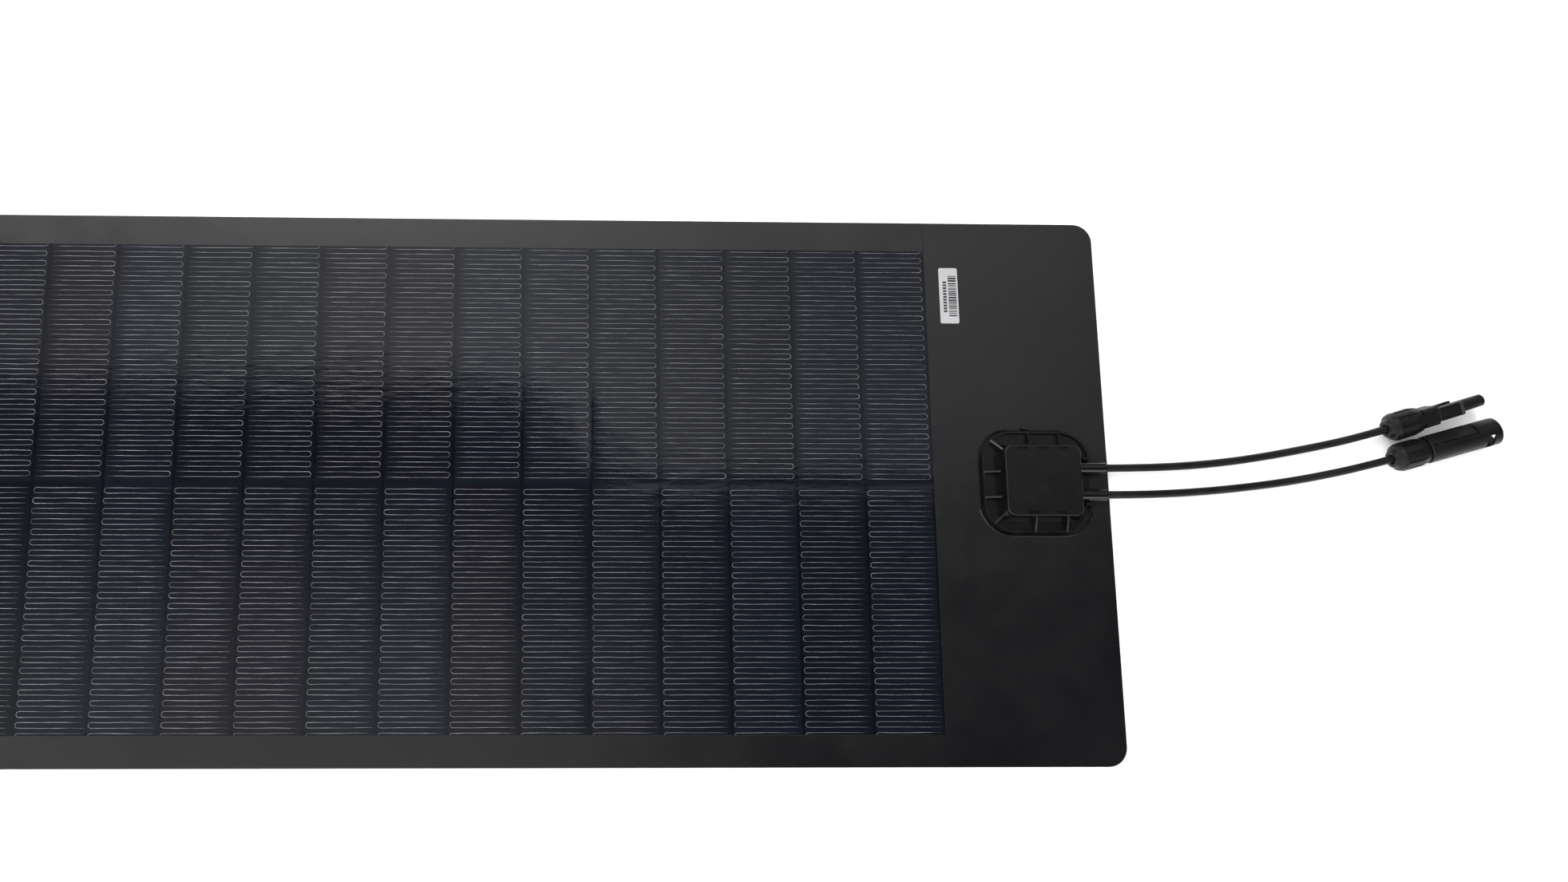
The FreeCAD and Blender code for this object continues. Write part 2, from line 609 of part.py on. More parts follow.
def lead_seal(name):
    return turned(name, [
        ("seal_start", "lead_radius + 0.02"), ("seal_start", "seal_chamber - 0.1"),
        ("chamber_end", "seal_chamber - 0.1"), ("chamber_end", "lead_radius + 0.02")])


def housing_bores(body, name, end):
    """The seal chamber and the contact chamber, from the back."""
    bore_out(body, name, [("spigot_start - 1", "0"), ("spigot_start - 1", "seal_chamber"),
                          ("chamber_end", "seal_chamber"), ("chamber_end", "contact_chamber"),
                          (end, "contact_chamber"), (end, "0")])


def probe_housing():
    """The slim housing that plugs in: threaded spigot, collar and probe nose."""
    body = turned("ProbeHousing", [
        ("spigot_start", "0"), ("spigot_start", "spigot_radius"), ("spigot_end", "spigot_radius"),
        ("spigot_end", "probe_radius"), ("probe_end - 0.9", "probe_radius"),
        ("probe_end", "probe_radius - 0.8"), ("probe_end", "0")])
    collar = rectangle(body, "CollarOutline", "YZ_Plane", "collar_width", "collar_height")
    pad = extrude_sketch(body, "Pad", "Collar", collar, "spigot_end", "collar_end - spigot_end")
    body.Tip = round_edges(body, pad, "CollarEdges",
                           lambda edge: is_long_corner(edge, "collar_width", "collar_height"),
                           "collar_corner")
    bore_out(body, "RingGroove", [
        ("ring_place - 0.9", "probe_radius - 0.4"), ("ring_place + 0.9", "probe_radius - 0.4"),
        ("ring_place + 0.9", "probe_radius + 1"), ("ring_place - 0.9", "probe_radius + 1")])
    housing_bores(body, "ProbeBores", "probe_end + 1")
    return body


def is_long_corner(edge, width, height):
    """True for an edge along X at a corner of a centred rectangle."""
    box = edge.BoundBox
    along = box.XLength > 5 and max(box.YLength, box.ZLength) < 1e-3
    off_side = abs(abs(box.YMin) - DIMENSIONS[width] / 2)
    off_top = abs(abs(box.ZMin) - DIMENSIONS[height] / 2)
    return along and max(off_side, off_top) < 1e-3


def latch_arm(name, side):
    """A springy finger beside the probe, with a hook at its tip and a round root."""
    middle = "(arm_inner + arm_outer) / 2"
    half = "(arm_outer - arm_inner) / 2"
    body = doc.addObject("PartDesign::Body", name)
    profile = outline(body, name + "Profile", "XZ_Plane", [
        ("arm_root", f"{side} * arm_inner"), ("arm_end", f"{side} * arm_inner"),
        ("arm_end", f"{side} * (arm_outer - 0.5)"), ("arm_end - 3.2", f"{side} * (arm_outer + arm_hook)"),
        ("arm_end - 3.6", f"{side} * arm_outer"), ("arm_root", f"{side} * arm_outer"),
        (f"arm_root - {half}", f"{side} * {middle}")])
    extrude_sketch(body, "Pad", name + "Pad", profile, "0", "arm_width", both_ways=True)
    return body


def probe_ring():
    ring = doc.addObject("Part::Torus", "ProbeRing")
    ring.Placement.Rotation = FreeCAD.Rotation(FreeCAD.Vector(0, 1, 0), 90)
    bind(ring, Radius1="probe_radius - 0.35 + ring_radius", Radius2="ring_radius")
    locate(ring, "ring_place", "0", "0")
    return group("ProbeRingPiece", [ring])


def contact_socket():
    return turned("ContactSocket", [
        ("lead_engaged", "0"), ("lead_engaged", "core_radius"), ("core_end", "core_radius"),
        ("core_end", "contact_radius"), ("probe_end - 1.7", "contact_radius"),
        ("probe_end - 1.7", "pin_radius"), ("socket_start", "pin_radius"), ("socket_start", "0")])


def contact_pin():
    return turned("ContactPin", [
        ("lead_engaged", "0"), ("lead_engaged", "core_radius"), ("core_end", "core_radius"),
        ("core_end", "contact_radius"), ("shell_end - mouth_depth - 0.5", "contact_radius"),
        ("shell_end - mouth_depth - 0.5", "pin_radius"), ("pin_tip - 1", "pin_radius"),
        ("pin_tip", "pin_radius - 0.6"), ("pin_tip", "0")])


def shell_flats(body):
    """A flat on the top and on the bottom, each with a broad thumb recess along one edge."""
    for side, word in ((1, "Top"), (-1, "Bottom")):
        flat = outline(body, f"Flat{word}Outline", "YZ_Plane", [
            ("-shell_radius - 1", f"{side} * shell_flat"), ("shell_radius + 1", f"{side} * shell_flat"),
            ("shell_radius + 1", f"{side} * (shell_radius + 1)"),
            ("-shell_radius - 1", f"{side} * (shell_radius + 1)")])
        extrude_sketch(body, "Pocket", f"Flat{word}", flat, "flat_start", "flat_length", reverse=True)
        recess = outline(body, f"Recess{word}Outline", "XY_Plane", [
            ("recess_start", f"{side} * 0.6"), ("recess_end", f"{side} * 4.6"),
            ("recess_end", f"{side} * (shell_radius + 1)"),
            ("recess_start", f"{side} * (shell_radius + 1)")])
        extrude_sketch(body, "Pocket", f"Recess{word}", recess, f"{side} * recess_floor",
                       "shell_radius", reverse=side > 0)


def shell_grips(body):
    """A broken groove along the near edge of the top flat."""
    low, high = "shell_flat - grip_depth", "shell_radius + 1"
    left, right = "-grip_offset - grip_width / 2", "grip_width / 2 - grip_offset"
    for i, (start, length) in enumerate(((24.6, 3.4), (31, 11.4), (44.4, 12.4))):
        groove = outline(body, f"Grip{i}Outline", "YZ_Plane",
                         [(left, low), (right, low), (right, high), (left, high)])
        extrude_sketch(body, "Pocket", f"Grip{i}", groove, str(start), str(length), reverse=True)


def shell_housing():
    """The wide housing that receives the probe: flats, recesses, two windows and a mouth."""
    body = turned("ShellHousing", [
        ("spigot_start", "0"), ("spigot_start", "spigot_radius"), ("spigot_end", "spigot_radius"),
        ("spigot_end", "shell_radius - 0.5"), ("spigot_end + 0.5", "shell_radius"),
        ("shell_end - 0.8", "shell_radius"), ("shell_end", "shell_radius - 0.8"), ("shell_end", "0")])
    shell_flats(body)
    shell_grips(body)
    channel = rectangle(body, "ChannelOutline", "YZ_Plane", "channel_width", "channel_height")
    extrude_sketch(body, "Pocket", "FingerChannel", channel, "shell_end - channel_depth",
                   "channel_depth + 1", reverse=True)
    window = outline(body, "WindowOutline", "XZ_Plane", [
        ("window_start", "-window_height / 2"),
        ("window_start + window_length", "-window_height / 2"),
        ("window_start + window_length", "window_height / 2"),
        ("window_start", "window_height / 2")])
    extrude_sketch(body, "Pocket", "Windows", window, "0", "4 * shell_radius", both_ways=True)
    housing_bores(body, "ShellBores", "shell_end - 10")
    bore_out(body, "ShellMouth", [
        ("shell_end - mouth_depth", "0"), ("shell_end - mouth_depth", "mouth_radius"),
        ("shell_end + 1", "mouth_radius"), ("shell_end + 1", "0")])
    return body


def connectors():
    probe = connector_frame(PROBE_PLACE)
    shell = connector_frame(SHELL_PLACE)
    pieces = [
        (probe_housing(), "probe_housing", probe),
        (latch_arm("ArmUpper", 1), "probe_latch_arm_upper", probe),
        (latch_arm("ArmLower", -1), "probe_latch_arm_lower", probe),
        (contact_socket(), "probe_contact_socket", probe),
        (probe_ring(), "probe_sealing_ring", probe),
        (lead_seal("ProbeSeal"), "probe_lead_seal", probe),
        (clamp_collet("ProbeCollet"), "probe_clamp_collet", probe),
        (cap_nut("ProbeNut"), "probe_cap_nut", probe),
        (shell_housing(), "shell_housing", shell),
        (contact_pin(), "shell_contact_pin", shell),
        (lead_seal("ShellSeal"), "shell_lead_seal", shell),
        (clamp_collet("ShellCollet"), "shell_clamp_collet", shell),
        (cap_nut("ShellNut"), "shell_cap_nut", shell)]
    for piece, label, frame in pieces:
        piece.Placement = frame
        keep(piece, label)


# ---------------------------------------------------------------- leads

def lead_route(start_y, free_points, place):
    """All points of a lead, from its core crimp in the box to the contact in its connector."""
    x, y, heading, _ = place
    ahead = FreeCAD.Vector(math.cos(math.radians(heading)), math.sin(math.radians(heading)), 0)
    nut_back = FreeCAD.Vector(x, y, AXIS_HEIGHT)
    start = FreeCAD.Vector(DIMENSIONS["lead_start"], start_y, face_height() + DIMENSIONS["outlet_rise"])
    middle = [FreeCAD.Vector(*point) for point in free_points]
    before_nut = nut_back - ahead * NUT_CLEARANCE_RUN
    return [start] + middle + [before_nut, nut_back + ahead * DIMENSIONS["lead_engaged"]]


def face_height():
    layers = ("backsheet", "rear_resin", "cell_thick", "decal_thick", "front_resin", "film", "mask")
    return sum(DIMENSIONS[layer] for layer in layers)


def rounded_path(points):
    """Straight runs joined by tangent arcs, each as large as its two runs allow."""
    edges = []
    radii = []
    here = points[0]
    for before, corner, after in zip(points, points[1:], points[2:]):
        back = (before - corner).normalize()
        onward = (after - corner).normalize()
        turn = math.pi - back.getAngle(onward)
        reach = 0.45 * min((before - corner).Length, (after - corner).Length)
        radius = reach / math.tan(turn / 2)
        arc_start = corner + back * reach
        arc_end = corner + onward * reach
        inward = (back + onward).normalize()
        arc_middle = corner + inward * (radius / math.cos(turn / 2) - radius)
        edges.append(Part.LineSegment(here, arc_start).toShape())
        edges.append(Part.Arc(arc_start, arc_middle, arc_end).toShape())
        radii.append(round(radius))
        here = arc_end
    edges.append(Part.LineSegment(here, points[-1]).toShape())
    return Part.Wire(edges), radii


def lead(label, points):
    """A round lead swept along its route."""
    path, radii = rounded_path(points)
    radius = DIMENSIONS["lead_radius"]
    ring = Part.Wire(Part.makeCircle(radius, points[0], points[1] - points[0]))
    tube = path.makePipeShell([ring], True, False)
    expected = math.pi * radius ** 2 * path.Length
    print(f"{label}: length {path.Length:.1f} mm, arc radii {radii}")
    print(f"{label}: volume {tube.Volume / expected:.4f} of section x length")
    item = doc.addObject("Part::Feature", label.title().replace("_", ""))
    item.Shape = tube
    keep(item, label)


def leads():
    spread = DIMENSIONS["outlet_spread"] / 2
    middle = DIMENSIONS["box_y"]
    lead("positive_lead", lead_route(middle + spread, POSITIVE_ROUTE, PROBE_PLACE))
    lead("negative_lead", lead_route(middle - spread, NEGATIVE_ROUTE, SHELL_PLACE))


# ---------------------------------------------------------------- build, check and write

def check_and_write():
    doc.recompute()
    for item in doc.Objects:
        faults = [state for state in item.State if state in ("Invalid", "Error")]
        if faults:
            raise RuntimeError(f"{item.Label} is {faults}")
    os.makedirs("parts", exist_ok=True)
    for item in nodes:
        shape = item.Shape
        if shape.isNull() or not shape.isValid() or shape.Volume <= 0:
            raise RuntimeError(f"{item.Label} has a bad shape")
        shape.exportStep(f"parts/{item.Label}.step")
        print(f"{item.Label}: {len(shape.Solids)} solid(s), {shape.Volume:.1f} mm3")


fill_sheet()
laminate_layers()
edge_seal()
cells_and_wire_decals()
string_metalwork()
masks()
data_label()
box_base()
box_lid()
box_seals()
box_terminals()
connectors()
leads()
check_and_write()
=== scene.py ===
"""Flexible solar sheet with a junction box and two plug-ended leads, lying on a pale studio floor.

Metres, in the frame of the CAD row. The laminate face, wires, black masks, label, adhesive bead and leads are
built here; the junction box, its seals and the connectors are the CAD solids with moulded-plastic finishes.
"""

import math
import random

import bpy
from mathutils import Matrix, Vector, noise

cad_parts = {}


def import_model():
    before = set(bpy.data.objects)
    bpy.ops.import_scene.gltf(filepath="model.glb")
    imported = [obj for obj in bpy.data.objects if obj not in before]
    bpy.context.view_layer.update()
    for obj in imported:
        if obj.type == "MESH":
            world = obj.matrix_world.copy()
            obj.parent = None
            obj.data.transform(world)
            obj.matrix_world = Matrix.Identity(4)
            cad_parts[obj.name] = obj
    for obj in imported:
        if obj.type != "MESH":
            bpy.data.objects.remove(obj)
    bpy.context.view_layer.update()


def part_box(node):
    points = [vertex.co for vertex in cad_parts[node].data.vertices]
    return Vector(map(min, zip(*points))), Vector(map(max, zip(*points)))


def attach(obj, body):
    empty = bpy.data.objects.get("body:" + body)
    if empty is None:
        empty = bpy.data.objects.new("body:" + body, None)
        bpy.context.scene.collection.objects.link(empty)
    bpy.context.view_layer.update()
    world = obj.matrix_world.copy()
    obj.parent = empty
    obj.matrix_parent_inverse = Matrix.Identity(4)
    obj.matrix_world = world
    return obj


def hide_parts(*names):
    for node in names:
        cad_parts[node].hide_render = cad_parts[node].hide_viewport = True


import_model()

MM = 0.001
SEED = 20261
rng = random.Random(SEED)

# ---- camera --------------------------------------------------------------------------------------
CAMERA_PLACE = (0.11446, -0.10278, 0.85642)
CAMERA_TURN_DEGREES = (10.8404, -1.6975, 0.0228)
LENS_MM = 31.155
SHIFT_X, SHIFT_Y = 0.1220, -0.0330

# ---- cells ---------------------------------------------------------------------------------------
COLUMNS = 18
LOOPS = 24
LINE_PITCH = 3.25 * MM
FIRST_LINE = 3.7 * MM
FAR_OPEN_START = 1.4 * MM
FAR_CLOSED_END = 1.8 * MM
NEAR_CLOSED_START = 1.3 * MM
NEAR_OPEN_END = 0.2 * MM
WIRE_WIDTH = 0.32 * MM
WIRE_HEIGHT = 0.17 * MM
WIRE_SINK = 0.05 * MM

# ---- the leads' routes, as in the CAD ------------------------------------------------------------
POSITIVE_ROUTE = (
    (0.438, 0.01045, 0.0074),
    (0.478, 0.0106, 0.0074),
    (0.518, 0.0124, 0.0046),
    (0.555, 0.0164, 0.0020),
    (0.592, 0.0226, 0.0040),
    (0.635555, 0.031564, 0.00945),
    (0.673808, 0.043509, 0.0091),
)
NEGATIVE_ROUTE = (
    (0.438, -0.00665, 0.0074),
    (0.478, -0.0065, 0.0074),
    (0.517, -0.0048, 0.0045),
    (0.555, -0.0012, 0.0020),
    (0.593, 0.0038, 0.0040),
    (0.637032, 0.012742, 0.0091),
    (0.675614, 0.023297, 0.0091),
)
LEAD_DIAMETER = 0.005
PROBE_NODES = (
    "probe_housing", "probe_latch_arm_upper", "probe_latch_arm_lower", "probe_contact_socket",
    "probe_sealing_ring", "probe_lead_seal", "probe_clamp_collet", "probe_cap_nut",
)
SHELL_NODES = (
    "shell_housing", "shell_contact_pin", "shell_lead_seal", "shell_clamp_collet", "shell_cap_nut",
)


# ---- shader helpers ------------------------------------------------------------------------------
class Shader:
    """A node material with short calls for adding and linking nodes."""

    def __init__(self, name):
        self.material = bpy.data.materials.new(name)
        self.material.use_nodes = True
        self.tree = self.material.node_tree
        self.surface = self.tree.nodes["Principled BSDF"]
        self.coords = self.tree.nodes.new("ShaderNodeTexCoord").outputs["Object"]

    def put(self, socket, value):
        if isinstance(value, bpy.types.NodeSocket):
            self.tree.links.new(value, socket)
        elif isinstance(value, (tuple, list)) and len(value) == 3 and socket.type == "RGBA":
            socket.default_value = (*value, 1.0)
        else:
            socket.default_value = value

    def node(self, kind, inputs=None, **settings):
        made = self.tree.nodes.new(kind)
        for key, value in settings.items():
            setattr(made, key, value)
        for key, value in (inputs or {}).items():
            self.put(made.inputs[key], value)
        return made

    def math(self, operation, *values):
        made = self.node("ShaderNodeMath", dict(enumerate(values)), operation=operation)
        return made.outputs[0]

    def noise(self, scale, detail=3.0, roughness=0.5, vector=None):
        inputs = {"Vector": vector or self.coords, "Scale": scale, "Detail": detail, "Roughness": roughness}
        return self.node("ShaderNodeTexNoise", inputs).outputs["Fac"]

    def remap(self, value, low, high, to_low, to_high):
        inputs = {0: value, 1: low, 2: high, 3: to_low, 4: to_high}
        return self.node("ShaderNodeMapRange", inputs, clamp=True).outputs[0]

    def mix(self, share, first, second):
        """Blends two colours; the mix node keeps its colour sockets at 6 and 7, and the result at 2."""
        return self.node("ShaderNodeMix", {0: share, 6: first, 7: second}, data_type="RGBA").outputs[2]

    def bump(self, height, strength, distance, normal=None):
        inputs = {"Strength": strength, "Distance": distance, "Height": height}
        if normal is not None:
            inputs["Normal"] = normal
        return self.node("ShaderNodeBump", inputs).outputs[0]

    def set(self, **values):
        for key, value in values.items():
            self.put(self.surface.inputs[key.replace("_", " ")], value)
        return self


def stretched(shader, scale):
    """Object coordinates stretched by a factor along each axis."""
    inputs = {"Vector": shader.coords, "Scale": scale}
    return shader.node("ShaderNodeMapping", inputs).outputs[0]


# ---- where things are, from the CAD nodes --------------------------------------------------------
CELL_LOW, CELL_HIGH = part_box("cells_far_row")
FILM_LOW, FILM_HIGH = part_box("front_film")
STRIP_LOW, STRIP_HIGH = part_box("edge_mask_far")
TAIL_LOW, TAIL_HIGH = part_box("end_mask_tail")
END_LOW, END_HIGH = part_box("end_mask_box")
LABEL_LOW, LABEL_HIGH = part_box("serial_label")
CORE_LOW, CORE_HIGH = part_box("front_encapsulant")
BEAD_LOW, BEAD_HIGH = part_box("box_adhesive_bead")
SHEET_TOP = END_HIGH.z
CELL_PITCH = (CELL_HIGH.x - CELL_LOW.x) / COLUMNS
SHEET_CORNER = 12 * MM
ALL_CORNERS = ((-1, -1), (-1, 1), (1, -1), (1, 1))


WAVES_PER_CELL = 2


def column_waves():
    """For each cell a few slow waves along its length, so that each reflects a little differently."""
    waves = {}
    for column in range(COLUMNS):
        for row in (0, 1):
            waves[column, row] = [
                (rng.uniform(0.006, 0.018) * MM, rng.uniform(0.05, 0.11), rng.uniform(0, 2 * math.pi))
                for _ in range(WAVES_PER_CELL)
            ]
    return waves


WAVES = column_waves()
GROOVE = 0.035 * MM
GROOVE_SHARE = 0.045
SWELL = 0.05 * MM
WINDOW_EASE = 3 * MM


def ease(value):
    value = min(max(value, 0.0), 1.0)
    return value * value * (3 - 2 * value)


def window_share(x, y):
    """1 inside the window over the cells, falling to 0 just outside it."""
    across = min(x - CELL_LOW.x, CELL_HIGH.x - x) / WINDOW_EASE
    along = (STRIP_LOW.y - abs(y)) / WINDOW_EASE
    return ease(min(across, along) + 0.5)


def film_rise(x, y):
    """How far the film's top stands above its nominal plane."""
    place = (x - CELL_LOW.x) / CELL_PITCH
    column = min(max(int(place), 0), COLUMNS - 1)
    share = min(max(place - column, 0.0), 1.0)
    row = 0 if y > 0 else 1
    flat = ease(min(share, 1 - share) / GROOVE_SHARE) * ease((abs(y) - 1.0 * MM) / (3 * MM))
    waves = sum(a * math.sin(2 * math.pi * y / w + p) for a, w, p in WAVES[column, row])
    swell = SWELL * noise.noise(Vector((x * 14, y * 14, 5.0)))
    return window_share(x, y) * (flat * (waves + GROOVE) - GROOVE + swell)


# ---- mesh helpers --------------------------------------------------------------------------------
def new_piece(name, verts, faces, material, smooth=True):
    """A mesh object that rides on the panel."""
    mesh = bpy.data.meshes.new(name)
    mesh.from_pydata(verts, [], faces)
    mesh.validate()
    mesh.update()
    for polygon in mesh.polygons:
        polygon.use_smooth = smooth
    piece = bpy.data.objects.new(name, mesh)
    bpy.context.scene.collection.objects.link(piece)
    mesh.materials.append(material)
    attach(piece, "panel")
    return piece


def smooth_by_angle(piece, degrees=35):
    """Flat-looking corners stay sharp; gentle bends are smooth."""
    piece.data.set_sharp_from_angle(angle=math.radians(degrees))


def rounded(x, y, low, high, radius, corners):
    """Moves a grid point in a rounded corner's square onto a quarter disc."""
    for sx, sy in corners:
        cx = high.x - radius if sx > 0 else low.x + radius
        cy = high.y - radius if sy > 0 else low.y + radius
        a, b = (x - cx) * sx / radius, (y - cy) * sy / radius
        if a > 0 and b > 0:
            pull = max(a, b) / math.hypot(a, b)
            return cx + a * pull * radius * sx, cy + b * pull * radius * sy
    return x, y


def band(upper, lower):
    """The faces between two closed rings of vertices."""
    count = len(upper)
    return [(upper[k], lower[k], lower[(k + 1) % count], upper[(k + 1) % count]) for k in range(count)]


def slab(name, xs, ys, low, high, top, bottom, material, corners=(), radius=SHEET_CORNER, edge=0.0):
    """A thin closed slab on a grid: its top follows top(x, y), and its rim is chamfered by edge metres."""
    verts, faces = [], []
    nx, ny = len(xs), len(ys)
    for y in ys:
        for x in xs:
            px, py = rounded(x, y, low, high, radius, corners)
            verts.append((px, py, top(px, py)))
    for j in range(ny - 1):
        for i in range(nx - 1):
            a = j * nx + i
            faces.append((a, a + 1, a + nx + 1, a + nx))
    rim = list(range(nx)) + [j * nx + nx - 1 for j in range(1, ny)]
    rim += [(ny - 1) * nx + i for i in range(nx - 2, -1, -1)] + [j * nx for j in range(ny - 2, 0, -1)]
    ring = rim
    count = len(rim)
    centre = ((low.x + high.x) / 2, (low.y + high.y) / 2)
    if edge:
        for index in rim:
            px, py, pz = verts[index]
            verts[index] = (
                px - math.copysign(edge, px - centre[0]) * (abs(px - centre[0]) > edge),
                py - math.copysign(edge, py - centre[1]) * (abs(py - centre[1]) > edge),
                pz,
            )
            verts.append((px, py, pz - edge))
        shoulder = list(range(len(verts) - count, len(verts)))
        faces += band(ring, shoulder)
        ring = shoulder
    for index in ring:
        px, py, _ = verts[index]
        verts.append((px, py, bottom))
    foot = list(range(len(verts) - count, len(verts)))
    faces += band(ring, foot)
    faces.append(tuple(reversed(foot)))
    piece = new_piece(name, verts, faces, material)
    smooth_by_angle(piece)
    return piece


def steps(start, end, pitch):
    """Evenly spaced values from start to end, about pitch apart."""
    count = max(1, round((end - start) / pitch))
    return [start + (end - start) * k / count for k in range(count + 1)]


def corner_steps(low, high, pitch, radius=SHEET_CORNER, at_low=True, at_high=True):
    """Values from low to high with closer ones in the rounded corners."""
    start = low + radius if at_low else low
    end = high - radius if at_high else high
    values = steps(start, end, pitch)
    if at_low:
        values = steps(low, start, radius / 5)[:-1] + values
    if at_high:
        values += steps(end, high, radius / 5)[1:]
    return values


# ---- the laminate face and the wires -------------------------------------------------------------
def laminate_face(material):
    """The glossy film over the cells, sunk a little along the joints between them."""
    facets = (0.0, GROOVE_SHARE / 2, GROOVE_SHARE, 0.28, 0.50, 0.72, 1 - GROOVE_SHARE, 1 - GROOVE_SHARE / 2)
    inner = [CELL_LOW.x + (column + f) * CELL_PITCH for column in range(COLUMNS) for f in facets]
    xs = corner_steps(FILM_LOW.x, CELL_LOW.x, 14 * MM, at_high=False)[:-1] + inner
    xs += corner_steps(CELL_HIGH.x, FILM_HIGH.x, 14 * MM, at_low=False)
    half = [1.0 * MM, 2.5 * MM, 4.0 * MM] + steps(7 * MM, STRIP_LOW.y - 3 * MM, 3.7 * MM)
    half += [STRIP_LOW.y, STRIP_LOW.y + 3 * MM] + steps(FILM_HIGH.y - SHEET_CORNER, FILM_HIGH.y, 3 * MM)
    ys = [-y for y in reversed(half)] + half

    def top(x, y):
        return FILM_HIGH.z + film_rise(x, y)

    piece = slab("laminate_face", xs, ys, FILM_LOW, FILM_HIGH, top, CORE_LOW.z, material, ALL_CORNERS)
    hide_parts("front_film", "front_encapsulant")


def hairpin(closed_x, open_x, y, wobble):
    """The centre line of one loop: out along one line, round the closed end and back along the next."""
    radius = LINE_PITCH / 2
    way = 1 if closed_x > open_x else -1
    turn_x = closed_x - way * radius
    shares = (0.0, 0.22, 0.45, 0.7, 1.0)
    drift = [wobble.uniform(-0.16, 0.16) * MM for _ in range(2 * len(shares))]
    path = [(open_x + wobble.uniform(-0.4, 0.4) * MM, y - radius + drift[0])]
    path += [(open_x + (turn_x - open_x) * s, y - radius + d) for s, d in zip(shares[1:], drift[1:])]
    for k in range(1, 7):
        angle = -math.pi / 2 + math.pi * k / 7
        path.append((turn_x + way * radius * math.cos(angle), y + radius * math.sin(angle)))
    back = [(turn_x + (open_x - turn_x) * s, y + radius + d) for s, d in zip(shares, drift[5:])]
    return path + back


def wire_strip(path, verts, faces):
    """A low half-round bead along a path, laid on the film."""
    first = len(verts)
    count = len(path)
    for k, (x, y) in enumerate(path):
        before, after = path[max(k - 1, 0)], path[min(k + 1, count - 1)]
        dx, dy = after[0] - before[0], after[1] - before[1]
        size = math.hypot(dx, dy)
        nx, ny = -dy / size, dx / size
        taper = 0.35 if k in (0, count - 1) else 1.0
        base = FILM_HIGH.z + film_rise(x, y) - WIRE_SINK
        for side, rise in ((-0.5, 0.0), (-0.26, 0.82), (0.26, 0.82), (0.5, 0.0)):
            offset = side * WIRE_WIDTH * taper
            verts.append((x + nx * offset, y + ny * offset, base + rise * WIRE_HEIGHT * taper))
    for k in range(count - 1):
        a, b = first + 4 * k, first + 4 * k + 4
        for c in range(4):
            d = (c + 1) % 4
            faces.append((a + d, a + c, b + c, b + d))
    faces.append((first, first + 1, first + 2, first + 3))
    last = first + 4 * (count - 1)
    faces.append((last + 3, last + 2, last + 1, last))


def wire_row(name, node, sign, material):
    """Every loop of one row of cells, as one piece."""
    wobble = random.Random(SEED + sign)
    verts, faces = [], []
    for column in range(COLUMNS):
        left = CELL_LOW.x + column * CELL_PITCH
        right = left + CELL_PITCH
        for loop in range(LOOPS):
            y = sign * (FIRST_LINE + LINE_PITCH / 2 + loop * 2 * LINE_PITCH)
            jitter = wobble.uniform(-0.25, 0.25) * MM
            if sign > 0:
                ends = (right - FAR_CLOSED_END + jitter, left + FAR_OPEN_START)
            else:
                ends = (left + NEAR_CLOSED_START + jitter, right - NEAR_OPEN_END)
            wire_strip(hairpin(*ends, y, wobble), verts, faces)
    piece = new_piece(name, verts, faces, material)
    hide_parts(node)


# ---- the black masks -----------------------------------------------------------------------------
def mask_rise(x, y):
    """Slight unevenness of a laminated strip."""
    slow = noise.noise(Vector((x * 11, y * 17, 1.0))) * 0.09
    quick = noise.noise(Vector((x * 45, y * 45, 9.0))) * 0.025
    return (slow + quick) * MM


def mask(name, node, low, high, material, corners=(), lift=0.0):
    """A black strip or panel over the CAD mask, with a gently uneven top."""
    pitch = 8 * MM
    at_low, at_high = any(c[0] < 0 for c in corners), any(c[0] > 0 for c in corners)
    xs = corner_steps(low.x, high.x, pitch, at_low=at_low, at_high=at_high)
    ys = corner_steps(low.y, high.y, pitch) if corners else steps(low.y, high.y, pitch / 2)

    def top(x, y):
        return high.z + lift + mask_rise(x, y)

    piece = slab(name, xs, ys, low, high, top, low.z - 0.1 * MM, material, corners, edge=0.12 * MM)
    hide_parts(node)


def masks(material):
    near_low, near_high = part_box("edge_mask_near")
    lift = 0.12 * MM
    mask("strip_far", "edge_mask_far", STRIP_LOW, STRIP_HIGH, material, lift=lift)
    mask("strip_near", "edge_mask_near", near_low, near_high, material, lift=lift)
    mask("end_panel_tail", "end_mask_tail", TAIL_LOW, TAIL_HIGH, material, ((-1, -1), (-1, 1)))
    mask("end_panel_box", "end_mask_box", END_LOW, END_HIGH, material, ((1, -1), (1, 1)))


# ---- the label -----------------------------------------------------------------------------------
def box_mesh(low, high, verts, faces):
    """Adds a thin block, used for each printed mark."""
    first = len(verts)
    for z in (low[2], high[2]):
        verts += [(low[0], low[1], z), (high[0], low[1], z), (high[0], high[1], z), (low[0], high[1], z)]
    quads = ((3, 2, 1, 0), (4, 5, 6, 7), (0, 1, 5, 4), (1, 2, 6, 5), (2, 3, 7, 6), (3, 0, 4, 7))
    faces += [tuple(first + k for k in quad) for quad in quads]


